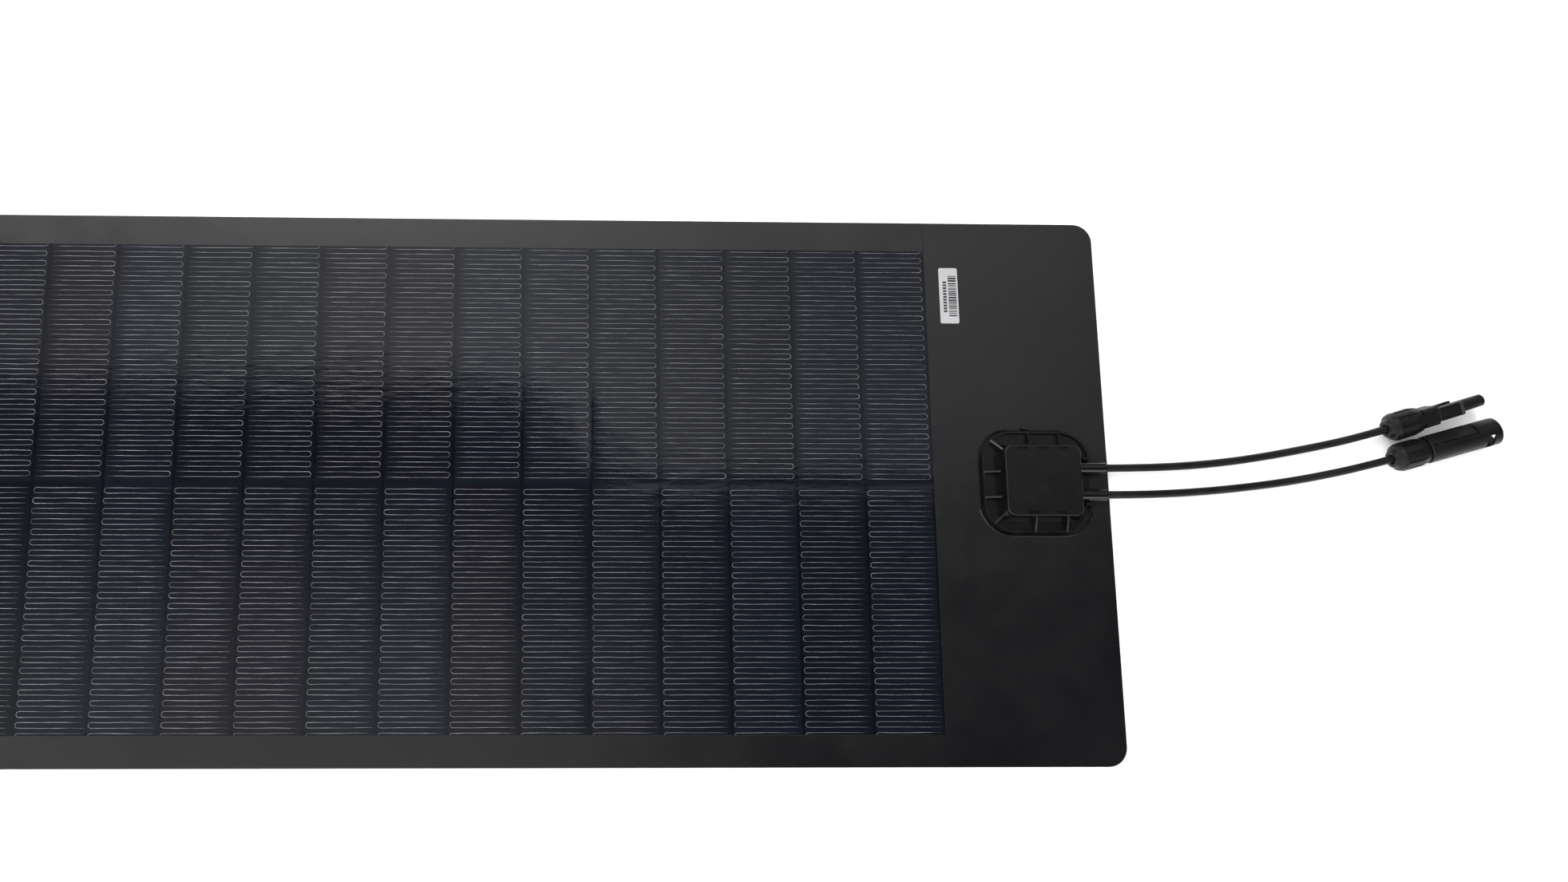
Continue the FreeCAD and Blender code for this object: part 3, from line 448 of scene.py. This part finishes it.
def label(paper, ink):
    """A white sticker with a column of plain bars and a row of plain dashes beside it."""
    low = LABEL_LOW + Vector((0.2 * MM, 0.3 * MM, 0))
    high = LABEL_HIGH - Vector((0.7 * MM, 0.2 * MM, 0))
    corner = 1.2 * MM
    xs = corner_steps(low.x, high.x, 3 * MM, radius=corner)
    ys = corner_steps(low.y, high.y, 3 * MM, radius=corner)

    def top(x, y):
        return high.z + mask_rise(x, y) + 0.06 * MM

    sticker = slab(
        "data_sticker", xs, ys, low, high, top, low.z - 0.1 * MM, paper, ALL_CORNERS, corner, 0.03 * MM,
    )
    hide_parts("serial_label")

    marks = random.Random(SEED + 7)
    verts, faces = [], []
    lift, thick = 0.05 * MM, 0.03 * MM
    bar_left, bar_right = low.x + 5.9 * MM, low.x + 11.2 * MM
    dash_left, dash_right = low.x + 2.4 * MM, low.x + 4.7 * MM
    dash_size, dash_pitch = 1.25 * MM, 1.95 * MM
    y, end = low.y + 4.8 * MM, high.y - 5.6 * MM
    while y < end:
        bar = marks.choice((0.45, 0.45, 0.80, 1.20)) * MM
        z = top(low.x + 9 * MM, y) + lift
        box_mesh((bar_left, y, z - thick), (bar_right, y + bar, z + thick), verts, faces)
        y += bar + marks.choice((0.45, 0.45, 0.65, 0.85)) * MM
    y = low.y + 7.5 * MM
    while y < high.y - 8.5 * MM:
        z = top(low.x + 4 * MM, y) + lift
        box_mesh((dash_left, y, z - thick), (dash_right, y + dash_size, z + thick), verts, faces)
        y += dash_pitch
    bars = new_piece("sticker_marks", verts, faces, ink, smooth=False)


# ---- the adhesive bead ---------------------------------------------------------------------------
def rounded_outline(centre, half_x, half_y, radius, count):
    """Points and outward normals evenly round a rounded rectangle, anticlockwise from the +X side."""
    straight_x, straight_y = 2 * (half_x - radius), 2 * (half_y - radius)
    arc = math.pi / 2 * radius
    total = 2 * (straight_x + straight_y) + 4 * arc
    legs = (
        ("line", straight_y, (half_x, radius - half_y), (0, 1), 0.0),
        ("arc", arc, (half_x - radius, half_y - radius), None, 0.0),
        ("line", straight_x, (half_x - radius, half_y), (-1, 0), 90.0),
        ("arc", arc, (radius - half_x, half_y - radius), None, 90.0),
        ("line", straight_y, (-half_x, half_y - radius), (0, -1), 180.0),
        ("arc", arc, (radius - half_x, radius - half_y), None, 180.0),
        ("line", straight_x, (radius - half_x, -half_y), (1, 0), 270.0),
        ("arc", arc, (half_x - radius, radius - half_y), None, 270.0),
    )
    points = []
    for k in range(count):
        left = total * k / count
        for kind, size, start, way, heading in legs:
            if left <= size or kind == "arc" and heading == 270.0:
                break
            left -= size
        if kind == "line":
            x, y = start[0] + way[0] * left, start[1] + way[1] * left
            angle = math.radians(heading)
        else:
            angle = math.radians(heading) + left / radius
            x, y = start[0] + radius * math.cos(angle), start[1] + radius * math.sin(angle)
        points.append((centre[0] + x, centre[1] + y, math.cos(angle), math.sin(angle)))
    return points


def bead_lean(nx, ny):
    """0 on the far and right sides, 1 on the left and near sides, where more sealant was squeezed out."""
    return ease(0.5 + 1.2 * max(-nx, -ny, -0.75 * (nx + ny)))


def bead_profile(share, lean, height):
    """Rounded on the far side; on the near side a low skirt with a ridge at its outer edge."""
    dome = math.sin(math.pi * share) ** 0.8
    skirt = 0.45 * math.sin(math.pi * share) ** 0.5 + 0.75 * math.exp(-(((share - 0.78) / 0.11) ** 2))
    return height * (dome + lean * (skirt - dome))


def adhesive_bead(material):
    """The squeezed-out sealant round the box flange, uneven as a hand-laid bead is."""
    centre = ((BEAD_LOW.x + BEAD_HIGH.x) / 2, (BEAD_LOW.y + BEAD_HIGH.y) / 2)
    half_x = (BEAD_HIGH.x - BEAD_LOW.x) / 2 - 2.5 * MM
    half_y = (BEAD_HIGH.y - BEAD_LOW.y) / 2 - 2.5 * MM
    count, sides = 260, 17
    outline = rounded_outline(centre, half_x, half_y, 19 * MM, count)
    verts, faces = [], []
    for x, y, nx, ny in outline:
        lean = bead_lean(nx, ny)
        lump = noise.noise(Vector((x * 90, y * 90, 2.0))) + 0.5 * noise.noise(Vector((x * 300, y * 300, 4.0)))
        blob = math.exp(-((x - centre[0] + 8 * MM) ** 2 + (y - centre[1] - half_y) ** 2) / (2.0 * MM) ** 2)
        width = (0.7 + 1.9 * lean + 0.35 * lump + 1.6 * blob) * MM
        height = (0.9 + 0.9 * blob + 0.12 * lump) * MM
        for side in range(sides):
            share = side / (sides - 1)
            out = -1.2 * MM + (width + 1.2 * MM) * share
            z = SHEET_TOP - 0.25 * MM + bead_profile(share, lean, height + 0.25 * MM)
            verts.append((x + nx * out, y + ny * out, z))
    for k in range(count):
        a, b = k * sides, (k + 1) % count * sides
        for side in range(sides):
            nxt = (side + 1) % sides
            faces.append((a + side, a + nxt, b + nxt, b + side))
    piece = new_piece("sealant_bead", verts, faces, material)
    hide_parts("box_adhesive_bead")


# ---- the leads -----------------------------------------------------------------------------------
def lead(name, node, route, material):
    """A round cable along its route."""
    curve = bpy.data.curves.new(name, "CURVE")
    curve.dimensions = "3D"
    curve.bevel_depth = LEAD_DIAMETER / 2
    curve.bevel_resolution = 6
    curve.resolution_u = 24
    curve.use_fill_caps = True
    spline = curve.splines.new("NURBS")
    spline.points.add(len(route) - 1)
    for point, place in zip(spline.points, route):
        point.co = (*place, 1.0)
    spline.order_u = 3
    spline.use_endpoint_u = True
    piece = bpy.data.objects.new(name, curve)
    bpy.context.scene.collection.objects.link(piece)
    curve.materials.append(material)
    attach(piece, "panel")
    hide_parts(node)


# ---- materials -----------------------------------------------------------------------------------
def laminate_material():
    """Dark blue-grey cells under a glossy film: tone by cell, dark gaps, faint streaks and orange peel."""
    s = Shader("cell_film")
    split = s.node("ShaderNodeSeparateXYZ", {0: s.coords})
    x, y = split.outputs[0], split.outputs[1]
    place = s.math("DIVIDE", s.math("SUBTRACT", x, CELL_LOW.x), CELL_PITCH)
    column = s.math("FLOOR", place)
    share = s.math("FRACT", place)
    row = s.math("GREATER_THAN", y, 0.0)
    key = s.math("ADD", column, s.math("MULTIPLY", row, 31.0))
    tone = s.node("ShaderNodeTexWhiteNoise", {"W": key}, noise_dimensions="1D").outputs["Value"]
    other_key = s.math("ADD", key, 7.3)
    hue = s.node("ShaderNodeTexWhiteNoise", {"W": other_key}, noise_dimensions="1D").outputs["Value"]
    streak = s.noise(26, 4, 0.6, stretched(s, (1, 9, 1)))
    blue = s.mix(hue, (0.0022, 0.0034, 0.0062), (0.0031, 0.0033, 0.0056))
    level = s.math("ADD", s.remap(tone, 0, 1, 0.80, 1.25), s.remap(streak, 0.3, 0.7, -0.12, 0.12))
    cell = s.node("ShaderNodeVectorMath", {0: blue, "Scale": level}, operation="SCALE").outputs[0]
    edge = s.math("MINIMUM", share, s.math("SUBTRACT", 1.0, share))
    gap = s.remap(edge, 0.010, 0.030, 1.0, 0.0)
    colour = s.mix(gap, cell, (0.0014, 0.0017, 0.0030))
    peel = s.noise(900, 2)
    waves = s.noise(60, 3, 0.55, stretched(s, (1, 2.5, 1)))
    normal = s.bump(peel, 0.04, 0.0003)
    normal = s.bump(waves, 0.06, 0.0012, normal)
    s.set(Base_Color=colour, Roughness=s.remap(streak, 0.3, 0.7, 0.05, 0.08), IOR=1.5, Normal=normal)
    return s.material


def wire_material():
    """Tinned wire seen through the film: pale grey, with brighter stretches of painted highlight."""
    s = Shader("tinned_wire")
    painted_glint_patch = s.noise(55, 3, 0.6, stretched(s, (1, 4, 1)))
    # The base colour brightens in noise patches: painted highlight standing in for glints along the wire.
    colour = s.mix(s.remap(painted_glint_patch, 0.35, 0.68, 0, 1), (0.110, 0.112, 0.122), (0.42, 0.42, 0.44))
    s.set(Base_Color=colour, Metallic=0.85, Roughness=s.remap(painted_glint_patch, 0.3, 0.7, 0.36, 0.24))
    return s.material


def mask_material():
    """Satin black film: soft mottling and a fine matte grain."""
    s = Shader("satin_mask")
    mottle = s.noise(16, 5, 0.62)
    grain = s.noise(2600, 2)
    smudge = s.noise(38, 4, 0.6)
    colour = s.mix(s.remap(mottle, 0.3, 0.7, 0, 1), (0.0026, 0.0026, 0.0032), (0.0040, 0.0039, 0.0045))
    rough = s.math("ADD", s.remap(mottle, 0.3, 0.7, 0.17, 0.23), s.remap(smudge, 0.35, 0.7, -0.02, 0.04))
    normal = s.bump(grain, 0.10, 0.00012)
    normal = s.bump(smudge, 0.10, 0.0012, normal)
    s.set(Base_Color=colour, Roughness=rough, IOR=1.74, Normal=normal)
    return s.material


def moulded(name, colour, rough=0.45, grain=0.12, ior=1.5):
    """Injection-moulded plastic: fine spark-eroded grain, and a slight drift in colour and sheen."""
    s = Shader(name)
    drift = s.noise(70, 4, 0.55)
    fine = s.noise(1900, 2, 0.5)
    darker = tuple(c * 0.78 for c in colour)
    lighter = tuple(c * 1.22 for c in colour)
    tint = s.mix(s.remap(drift, 0.32, 0.68, 0, 1), darker, lighter)
    normal = s.bump(fine, grain, 0.00015)
    s.set(Base_Color=tint, Roughness=s.remap(drift, 0.3, 0.7, rough - 0.06, rough + 0.06), IOR=ior)
    s.set(Normal=normal)
    return s.material


def metal(name, colour, rough=0.3):
    """Bare metal with fine brush marks and patches of tarnish."""
    s = Shader(name)
    brushed = s.noise(600, 3, 0.6, stretched(s, (0.2, 2, 2)))
    tarnish = s.noise(120, 4, 0.6)
    dull = tuple(c * 0.72 for c in colour)
    tint = s.mix(s.remap(tarnish, 0.4, 0.7, 0, 1), colour, dull)
    normal = s.bump(brushed, 0.08, 0.0001)
    s.set(Base_Color=tint, Metallic=1.0, Roughness=s.remap(brushed, 0.3, 0.7, rough - 0.06, rough + 0.08))
    s.set(Normal=normal)
    return s.material


def rubber(name, colour, rough=0.55):
    """Matte rubber or cable jacket with a fine speck and a faint bloom."""
    s = Shader(name)
    speck = s.noise(1500, 3, 0.6)
    bloom = s.noise(90, 4, 0.55)
    lighter = tuple(min(1.0, c * 1.35 + 0.003) for c in colour)
    tint = s.mix(s.remap(bloom, 0.35, 0.7, 0, 1), colour, lighter)
    normal = s.bump(speck, 0.10, 0.00012)
    s.set(Base_Color=tint, Roughness=s.remap(bloom, 0.3, 0.7, rough - 0.05, rough + 0.07), IOR=1.32)
    s.set(Normal=normal)
    return s.material


def sealant_material():
    """Glossy black sealant, slightly lumpy."""
    s = Shader("black_sealant")
    lumps = s.noise(420, 3, 0.6)
    normal = s.bump(lumps, 0.15, 0.0004)
    tint = s.mix(s.remap(lumps, 0.35, 0.65, 0, 1), (0.0015, 0.0015, 0.0015), (0.0030, 0.0030, 0.0030))
    s.set(Base_Color=tint, Roughness=0.08, IOR=1.6, Normal=normal)
    return s.material


def paper_material():
    s = Shader("label_paper")
    fibre = s.noise(900, 4, 0.6)
    shade = s.noise(60, 3)
    tint = s.mix(s.remap(shade, 0.3, 0.7, 0, 1), (0.300, 0.300, 0.304), (0.275, 0.275, 0.280))
    s.set(Base_Color=tint, Roughness=0.38, Normal=s.bump(fibre, 0.08, 0.0001))
    return s.material


def ink_material():
    s = Shader("label_ink")
    wear = s.noise(2500, 3, 0.7)
    tint = s.mix(s.remap(wear, 0.45, 0.75, 0, 1), (0.012, 0.012, 0.014), (0.045, 0.045, 0.050))
    s.set(Base_Color=tint, Roughness=0.5)
    return s.material


def cell_material():
    """Crystalline silicon under the film, seen only where the laminate is opened."""
    s = Shader("silicon_cell")
    flake = s.node("ShaderNodeTexVoronoi", {"Vector": s.coords, "Scale": 60.0}).outputs["Color"]
    tint = s.mix(0.12, (0.006, 0.010, 0.030), flake)
    dark = s.mix(0.85, tint, (0.006, 0.009, 0.026))
    s.set(Base_Color=dark, Roughness=s.remap(s.noise(40), 0.3, 0.7, 0.22, 0.34), Metallic=0.2)
    return s.material


def glassy_resin():
    s = Shader("resin_layer")
    drift = s.noise(50, 3)
    tint = s.mix(s.remap(drift, 0.3, 0.7, 0, 1), (0.030, 0.030, 0.032), (0.045, 0.044, 0.044))
    s.set(Base_Color=tint, Roughness=s.remap(drift, 0.3, 0.7, 0.22, 0.32), Coat_Weight=0.3)
    return s.material


def backsheet_material():
    """Embossed polymer backsheet: a fine square-weave emboss with slight sheen."""
    s = Shader("back_polymer")
    split = s.node("ShaderNodeSeparateXYZ", {0: s.coords})
    pitch = 2 * math.pi / (1.1 * MM)
    weave = s.math(
        "MULTIPLY",
        s.math("SINE", s.math("MULTIPLY", split.outputs[0], pitch)),
        s.math("SINE", s.math("MULTIPLY", split.outputs[1], pitch)),
    )
    mottle = s.noise(14, 5, 0.6)
    tint = s.mix(s.remap(mottle, 0.3, 0.7, 0, 1), (0.016, 0.016, 0.017), (0.023, 0.023, 0.024))
    normal = s.bump(weave, 0.25, 0.0002)
    s.set(Base_Color=tint, Roughness=s.remap(mottle, 0.3, 0.7, 0.42, 0.52), Normal=normal)
    return s.material


def finish_node(node, material):
    """Gives a CAD node its material in every slot."""
    piece = bpy.data.objects[node]
    if not piece.material_slots:
        piece.data.materials.append(material)
    for material_slot in piece.material_slots:
        material_slot.link = "OBJECT"
        material_slot.material = material


def finish_cad_nodes():
    box_plastic = moulded("box_plastic", (0.0030, 0.0030, 0.0031), rough=0.20, grain=0.08)
    plug_plastic = moulded("plug_plastic", (0.0040, 0.0041, 0.0045), rough=0.44, grain=0.08, ior=1.32)
    tin = metal("tinned_metal", (0.62, 0.62, 0.60), 0.28)
    copper = metal("copper_metal", (0.72, 0.36, 0.22), 0.26)
    soft = rubber("soft_rubber", (0.010, 0.010, 0.0105), 0.6)
    resin = glassy_resin()
    cells = cell_material()
    finishes = {
        "backsheet": backsheet_material(),
        "rear_encapsulant": resin,
        "edge_seal": rubber("edge_sealant", (0.010, 0.010, 0.011), 0.5),
        "cells_far_row": cells,
        "cells_near_row": cells,
        "tail_crossover_bus": tin,
        "positive_bus_ribbon": tin,
        "negative_bus_ribbon": tin,
        "box_base": box_plastic,
        "box_lid": box_plastic,
        "lid_gasket": soft,
        "positive_terminal": copper,
        "negative_terminal": copper,
        "positive_core_crimp": tin,
        "negative_core_crimp": tin,
        "positive_cable_bush": soft,
        "negative_cable_bush": soft,
        "bypass_diode": moulded("diode_epoxy", (0.010, 0.010, 0.011), rough=0.5),
        "probe_contact_socket": tin,
        "shell_contact_pin": tin,
        "probe_sealing_ring": soft,
        "probe_lead_seal": soft,
        "shell_lead_seal": soft,
    }
    for node in PROBE_NODES + SHELL_NODES:
        finishes.setdefault(node, plug_plastic)
    for node, material in finishes.items():
        finish_node(node, material)


# ---- studio --------------------------------------------------------------------------------------
def camera():
    """The view from above the near side, turned a little to the far edge."""
    data = bpy.data.cameras.new("camera")
    data.sensor_width = 36
    data.lens = LENS_MM
    data.shift_x, data.shift_y = SHIFT_X, SHIFT_Y
    data.clip_start, data.clip_end = 0.01, 50
    data.dof.use_dof = False
    made = bpy.data.objects.new("camera", data)
    bpy.context.scene.collection.objects.link(made)
    made.location = CAMERA_PLACE
    made.rotation_euler = [math.radians(angle) for angle in CAMERA_TURN_DEGREES]
    bpy.context.scene.camera = made


def floor():
    """A wide pale floor just under the sheet."""
    half = 20.0
    verts = [(-half, -half, 0), (half, -half, 0), (half, half, 0), (-half, half, 0)]
    mesh = bpy.data.meshes.new("floor")
    mesh.from_pydata(verts, [], [(0, 1, 2, 3)])
    plane = bpy.data.objects.new("floor", mesh)
    bpy.context.scene.collection.objects.link(plane)
    s = Shader("pale_floor")
    cloud = s.noise(3, 2)
    tint = s.mix(cloud, (0.90, 0.90, 0.90), (0.92, 0.92, 0.92))
    s.set(Base_Color=tint, Roughness=0.9, Specular_IOR_Level=0.1)
    mesh.materials.append(s.material)
    plane.location.z = -0.02 * MM


def area(name, place, aim, size, watts):
    """A soft lamp that lights the object but is not itself seen in reflections."""
    data = bpy.data.lights.new(name, "AREA")
    data.shape = "RECTANGLE"
    data.size, data.size_y = size
    data.energy = watts
    lamp = bpy.data.objects.new(name, data)
    bpy.context.scene.collection.objects.link(lamp)
    lamp.location = place
    lamp.rotation_mode = "QUATERNION"
    lamp.rotation_quaternion = (Vector(aim) - Vector(place)).to_track_quat("-Z", "Y")
    lamp.visible_camera = False
    lamp.visible_glossy = False


class Surround:
    """The world's shader, with short calls for sums on its direction coordinates."""

    def __init__(self, name):
        made = bpy.data.worlds.new(name)
        bpy.context.scene.world = made
        made.use_nodes = True
        made.node_tree.nodes.clear()
        self.nodes, self.links = made.node_tree.nodes, made.node_tree.links

    def math(self, operation, *values):
        made = self.nodes.new("ShaderNodeMath")
        made.operation = operation
        for k, value in enumerate(values):
            if isinstance(value, bpy.types.NodeSocket):
                self.links.new(value, made.inputs[k])
            else:
                made.inputs[k].default_value = value
        return made.outputs[0]

    def times(self, first, *others):
        for other in others:
            first = self.math("MULTIPLY", first, other)
        return first

    def plus(self, first, second):
        return self.math("ADD", first, second)

    def less(self, first, second):
        return self.math("SUBTRACT", first, second)

    def step(self, value, start, end):
        """0 at start, 1 at end, with a smooth run between them; start may be the larger."""
        made = self.nodes.new("ShaderNodeMapRange")
        made.interpolation_type = "SMOOTHSTEP"
        self.links.new(value, made.inputs[0])
        made.inputs[1].default_value, made.inputs[2].default_value = start, end
        return made.outputs[0]

    def between(self, first, second, share):
        """first where share is 0, second where it is 1."""
        return self.plus(first, self.times(share, self.less(second, first)))


def world():
    """A pale soft surround that the film reflects.

    u and v say where a direction meets a level plane one unit up, to the right and to the far side. A wall of
    light stands behind the far edge, a dim ceiling hangs over the middle, and lit strips lie on the left and
    near sides.
    """
    w = Surround("studio")
    split = w.nodes.new("ShaderNodeSeparateXYZ")
    w.links.new(w.nodes.new("ShaderNodeTexCoord").outputs["Generated"], split.inputs[0])
    height = split.outputs[2]
    up = w.math("MAXIMUM", height, 0.02)
    u, v = w.math("DIVIDE", split.outputs[0], up), w.math("DIVIDE", split.outputs[1], up)

    wall_edge = w.less(0.195, w.times(w.step(u, -0.03, 0.08), 0.073))
    before_wall = w.step(w.less(v, wall_edge), 0.010, -0.010)
    under_ceiling = w.times(before_wall, w.step(v, -1.3, -0.7), w.step(u, 1.9, 1.1))
    wall_middle = w.times(w.step(u, -0.46, -0.12), w.step(u, 0.26, -0.08))
    wall = w.plus(0.42, w.times(wall_middle, 0.50))
    ceiling_glow = w.times(w.step(u, 0.20, -0.10), w.step(v, 0.16, -0.09))
    ceiling = w.plus(0.05, w.times(ceiling_glow, 0.50))
    level = w.between(wall, ceiling, under_ceiling)

    behind = w.times(w.step(v, 0.27, 0.70), w.plus(0.9, w.times(w.step(u, 0.1, -0.30), 2.1)))
    aside = w.times(w.step(u, -0.45, -0.85), 3.0)
    reach = w.math("SQRT", w.plus(w.times(u, u), w.times(v, v)))
    overhead = w.step(reach, 1.5, 0.9)
    level = w.plus(level, w.times(w.math("MAXIMUM", behind, aside), overhead))

    right_fade = w.plus(0.18, w.times(w.step(u, 0.62, 0.33), 0.82))
    horizon_fade = w.plus(0.30, w.times(w.step(height, 0.15, 0.50), 0.70))
    level = w.times(level, w.times(right_fade, horizon_fade))

    near_band = w.times(w.step(v, -0.75, -1.15), w.step(v, -2.8, -2.0))
    near_side = w.math("MAXIMUM", w.step(u, 0.10, -0.20), w.step(u, 0.28, 0.42))
    near_strength = w.plus(0.8, w.times(near_side, 2.4))
    level = w.plus(level, w.times(near_band, w.step(u, 1.9, 1.2), near_strength))

    backdrop = w.step(height, 0.14, 0.07)
    level = w.between(level, 1.05, backdrop)
    background = w.nodes.new("ShaderNodeBackground")
    background.inputs[0].default_value = (0.98, 0.985, 1.0, 1.0)
    w.links.new(level, background.inputs[1])
    w.links.new(background.outputs[0], w.nodes.new("ShaderNodeOutputWorld").inputs[0])


def lights():
    area("key", (-1.3, 1.0, 1.8), (0.3, 0, 0), (2.0, 2.0), 52)
    area("fill", (1.3, -1.4, 2.0), (0.3, 0, 0), (1.8, 1.8), 14)
    area("top", (0.1, 0.1, 2.2), (0.1, 0, 0), (3.6, 3.6), 56)


def studio():
    """Camera, floor, surround and lamps, with colours shown as they are."""
    camera()
    floor()
    world()
    lights()
    view = bpy.context.scene.view_settings
    view.view_transform = "Standard"
    view.look = "None"
    view.exposure = 0.0


def main():
    studio()
    finish_cad_nodes()
    laminate_face(laminate_material())
    wires = wire_material()
    wire_row("wires_far_row", "wire_decals_far_row", 1, wires)
    wire_row("wires_near_row", "wire_decals_near_row", -1, wires)
    masks(mask_material())
    label(paper_material(), ink_material())
    adhesive_bead(sealant_material())
    jacket = rubber("lead_jacket", (0.0032, 0.0032, 0.0040), 0.38)
    lead(
        "positive_lead_run", "positive_lead", POSITIVE_ROUTE,
        jacket,
    )
    lead(
        "negative_lead_run", "negative_lead", NEGATIVE_ROUTE,
        jacket,
    )


main()
